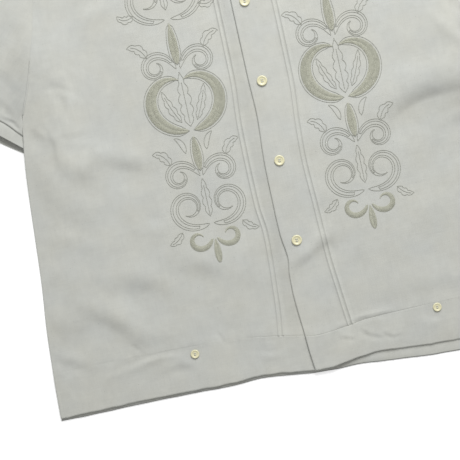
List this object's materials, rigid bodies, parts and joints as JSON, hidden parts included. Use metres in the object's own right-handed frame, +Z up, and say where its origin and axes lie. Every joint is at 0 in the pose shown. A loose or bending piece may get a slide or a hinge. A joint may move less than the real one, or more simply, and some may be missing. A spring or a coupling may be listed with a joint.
{
  "type": "embroidered shirt laid flat",
  "caption": "Short-sleeved linen shirt with pin tucks, a bottom band and an embroidered front, laid flat on its back.",
  "frame": {"origin": "centre of the shirt's own box, on the surface it lies on", "axes": "+X towards the wearer's left side, +Y from the hem to the collar, +Z up from the surface, out of the front"},
  "size_m": [0.7518, 0.6704, 0.0178],
  "materials": {
    "linen": "matte plain-weave linen, pale grey",
    "button_shell": "polished cream shell-like button",
    "embroidery_thread": "khaki grey satin stitch thread with a soft sheen"
  },
  "bodies": {
    "root": {"back": "linen", "band_back": "linen", "front_right": "linen", "front_left": "linen", "band_front_right": "linen", "band_front_left": "linen", "sleeve_right": "linen", "sleeve_left": "linen", "collar": "linen", "front_button_1": "button_shell", "front_button_2": "button_shell", "front_button_3": "button_shell", "front_button_4": "button_shell", "front_button_5": "button_shell", "hem_button_right": "button_shell", "hem_button_left": "button_shell"}
  },
  "joints": []
}
